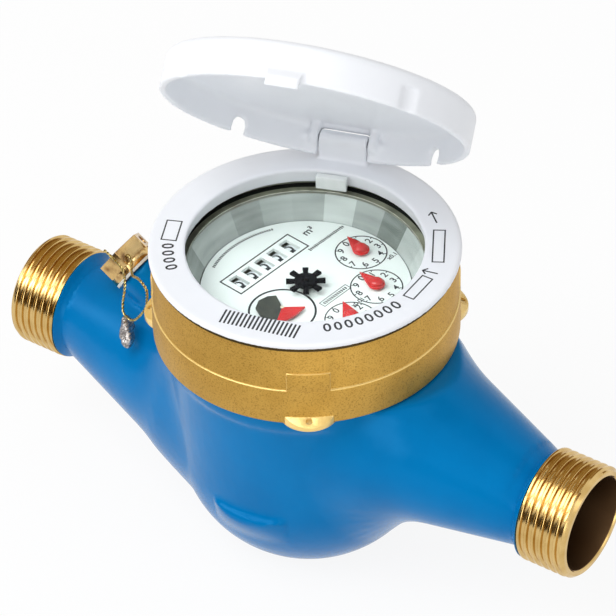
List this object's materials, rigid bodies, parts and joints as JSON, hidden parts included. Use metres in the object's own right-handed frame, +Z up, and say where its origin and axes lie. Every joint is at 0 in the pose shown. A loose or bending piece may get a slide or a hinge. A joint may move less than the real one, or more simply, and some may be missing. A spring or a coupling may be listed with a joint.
{
  "type": "water_meter",
  "caption": "Blue cast domestic water meter with threaded ends, a brass head ring, a glazed register with counter and pointers, and a hinged white lid",
  "frame": {"origin": "centre of the flat foot under the bowl", "axes": "+X along the pipe toward the outlet, +Z up, +Y to the side of the hinge"},
  "size_m": [0.19, 0.091, 0.1729],
  "materials": {
    "paint": "gloss blue enamel over cast brass, bare brass on the threads",
    "cast_brass": "matte sand-cast brass",
    "white_plastic": "satin white moulding",
    "steel": "drawn wire",
    "glass": "clear polished disc",
    "gasket": "dark moulded rubber",
    "cup": "pale grey moulding",
    "gear_plastic": "natural moulded plastic",
    "dial_face": "white printed disc",
    "magnet": "sintered dark grey",
    "star_black": "black moulding",
    "hand_red": "red moulding",
    "target_grey": "dark metal half disc",
    "drum_white": "white moulding with black figures",
    "ink": "printed black ink",
    "chamber_plastic": "grey moulding",
    "plate_brass": "machined plate",
    "bright_brass": "turned and polished",
    "washer_plastic": "flat fibre washer",
    "wire": "twisted sealing wire",
    "lead": "crushed soft lead"
  },
  "bodies": {
    "meter": {"body": "paint", "head_ring": "cast_brass", "shroud_ring": "white_plastic", "hinge_pin": "steel", "window": "glass", "window_gasket": "gasket", "register_cup": "cup", "lower_plate": "gear_plastic", "upper_plate": "gear_plastic", "dial": "dial_face", "drum_axle": "steel", "pressure_plate": "plate_brass", "head_gasket": "gasket", "chamber_top": "chamber_plastic", "jet_basket": "chamber_plastic", "strainer": "chamber_plastic", "pivot_pin": "steel", "regulating_screw": "bright_brass", "plug": "bright_brass", "plug_washer": "washer_plastic", "seal_wire": "wire", "lead_seal": "lead"},
    "cover": {"lid": "white_plastic"},
    "turbine": {"impeller": "chamber_plastic", "spindle": "steel", "drive_magnet": "magnet"},
    "magnet_shaft": {"magnet_arbor": "gear_plastic", "follower_magnet": "magnet", "star_wheel": "star_black"},
    "idler_1": {"idler_gear_1": "gear_plastic"},
    "idler_2": {"idler_gear_2": "gear_plastic"},
    "idler_3": {"idler_gear_3": "gear_plastic"},
    "idler_4": {"idler_gear_4": "gear_plastic"},
    "hand_1": {"pointer_gear_1": "gear_plastic", "pointer_1": "hand_red", "target_disc": "target_grey"},
    "hand_2": {"pointer_gear_2": "gear_plastic", "pointer_2": "hand_red"},
    "hand_3": {"pointer_gear_3": "gear_plastic", "pointer_3": "hand_red"},
    "hand_4": {"pointer_gear_4": "gear_plastic", "pointer_4": "hand_red"},
    "transfer": {"transfer_gear": "gear_plastic"},
    "worm_shaft": {"worm_arbor": "gear_plastic", "worm": "gear_plastic"},
    "number_1": {"drum_1": "drum_white"},
    "number_2": {"drum_2": "drum_white"},
    "number_3": {"drum_3": "drum_white"},
    "number_4": {"drum_4": "drum_white"},
    "number_5": {"drum_5": "drum_white"}
  },
  "joints": [
    {"name": "lid_hinge", "type": "hinge", "parent": "meter", "child": "cover", "pos_m": [-0.01258, 0.03871, 0.1044], "axis": [-0.9511, -0.309, 0], "range_deg": [-51, 44]},
    {"name": "impeller_spin", "type": "hinge", "parent": "meter", "child": "turbine", "pos_m": [0, 0, 0.032], "axis": [0, 0, 1], "continuous": true},
    {"name": "magnet_spin", "type": "hinge", "parent": "meter", "child": "magnet_shaft", "pos_m": [0, 0, 0.071], "axis": [0, 0, 1], "continuous": true},
    {"name": "idler_1_spin", "type": "hinge", "parent": "meter", "child": "idler_1", "pos_m": [-0.00312, -0.00626, 0.078], "axis": [0, 0, 1], "continuous": true},
    {"name": "hand_1_spin", "type": "hinge", "parent": "meter", "child": "hand_1", "pos_m": [0.00031, -0.01216, 0.08], "axis": [0, 0, 1], "continuous": true},
    {"name": "idler_2_spin", "type": "hinge", "parent": "meter", "child": "idler_2", "pos_m": [0.00882, -0.00691, 0.078], "axis": [0, 0, 1], "continuous": true},
    {"name": "hand_2_spin", "type": "hinge", "parent": "meter", "child": "hand_2", "pos_m": [0.01833, -0.0047, 0.08], "axis": [0, 0, 1], "continuous": true},
    {"name": "idler_3_spin", "type": "hinge", "parent": "meter", "child": "idler_3", "pos_m": [0.01371, 0.00279, 0.078], "axis": [0, 0, 1], "continuous": true},
    {"name": "hand_3_spin", "type": "hinge", "parent": "meter", "child": "hand_3", "pos_m": [0.01648, 0.01091, 0.08], "axis": [0, 0, 1], "continuous": true},
    {"name": "idler_4_spin", "type": "hinge", "parent": "meter", "child": "idler_4", "pos_m": [0.00875, 0.0142, 0.078], "axis": [0, 0, 1], "continuous": true},
    {"name": "hand_4_spin", "type": "hinge", "parent": "meter", "child": "hand_4", "pos_m": [0.00449, 0.02118, 0.08], "axis": [0, 0, 1], "continuous": true},
    {"name": "transfer_spin", "type": "hinge", "parent": "meter", "child": "transfer", "pos_m": [-0.00224, 0.02311, 0.072], "axis": [0, 0, 1], "continuous": true},
    {"name": "worm_spin", "type": "hinge", "parent": "meter", "child": "worm_shaft", "pos_m": [-0.00866, 0.02031, 0.076], "axis": [0, 0, 1], "continuous": true},
    {"name": "number_1_spin", "type": "hinge", "parent": "meter", "child": "number_1", "pos_m": [-0.0141, 0.01248, 0.0772], "axis": [0.1392, 0.9903, 0], "continuous": true},
    {"name": "number_2_spin", "type": "hinge", "parent": "meter", "child": "number_2", "pos_m": [-0.01482, 0.00734, 0.0772], "axis": [0.1392, 0.9903, 0], "continuous": true},
    {"name": "number_3_spin", "type": "hinge", "parent": "meter", "child": "number_3", "pos_m": [-0.01555, 0.00218, 0.0772], "axis": [0.1392, 0.9903, 0], "continuous": true},
    {"name": "number_4_spin", "type": "hinge", "parent": "meter", "child": "number_4", "pos_m": [-0.01627, -0.00297, 0.0772], "axis": [0.1392, 0.9903, 0], "continuous": true},
    {"name": "number_5_spin", "type": "hinge", "parent": "meter", "child": "number_5", "pos_m": [-0.01699, -0.00811, 0.0772], "axis": [0.1392, 0.9903, 0], "continuous": true}
  ],
  "couplings": [
    {"joint": "magnet_spin", "follows": "impeller_spin", "ratio": 1},
    {"joint": "idler_1_spin", "follows": "impeller_spin", "ratio": -0.33333},
    {"joint": "hand_1_spin", "follows": "impeller_spin", "ratio": 0.1},
    {"joint": "idler_2_spin", "follows": "impeller_spin", "ratio": -0.033333},
    {"joint": "hand_2_spin", "follows": "impeller_spin", "ratio": 0.01},
    {"joint": "idler_3_spin", "follows": "impeller_spin", "ratio": -0.0033333},
    {"joint": "hand_3_spin", "follows": "impeller_spin", "ratio": 0.001},
    {"joint": "idler_4_spin", "follows": "impeller_spin", "ratio": -0.00033333},
    {"joint": "hand_4_spin", "follows": "impeller_spin", "ratio": 0.0001},
    {"joint": "transfer_spin", "follows": "impeller_spin", "ratio": -0.0001},
    {"joint": "worm_spin", "follows": "impeller_spin", "ratio": 0.0001},
    {"joint": "number_1_spin", "follows": "impeller_spin", "ratio": 0.00001},
    {"joint": "number_2_spin", "follows": "impeller_spin", "ratio": 0.000001},
    {"joint": "number_3_spin", "follows": "impeller_spin", "ratio": 0.0000001},
    {"joint": "number_4_spin", "follows": "impeller_spin", "ratio": 0.00000001},
    {"joint": "number_5_spin", "follows": "impeller_spin", "ratio": 0.000000001}
  ]
}
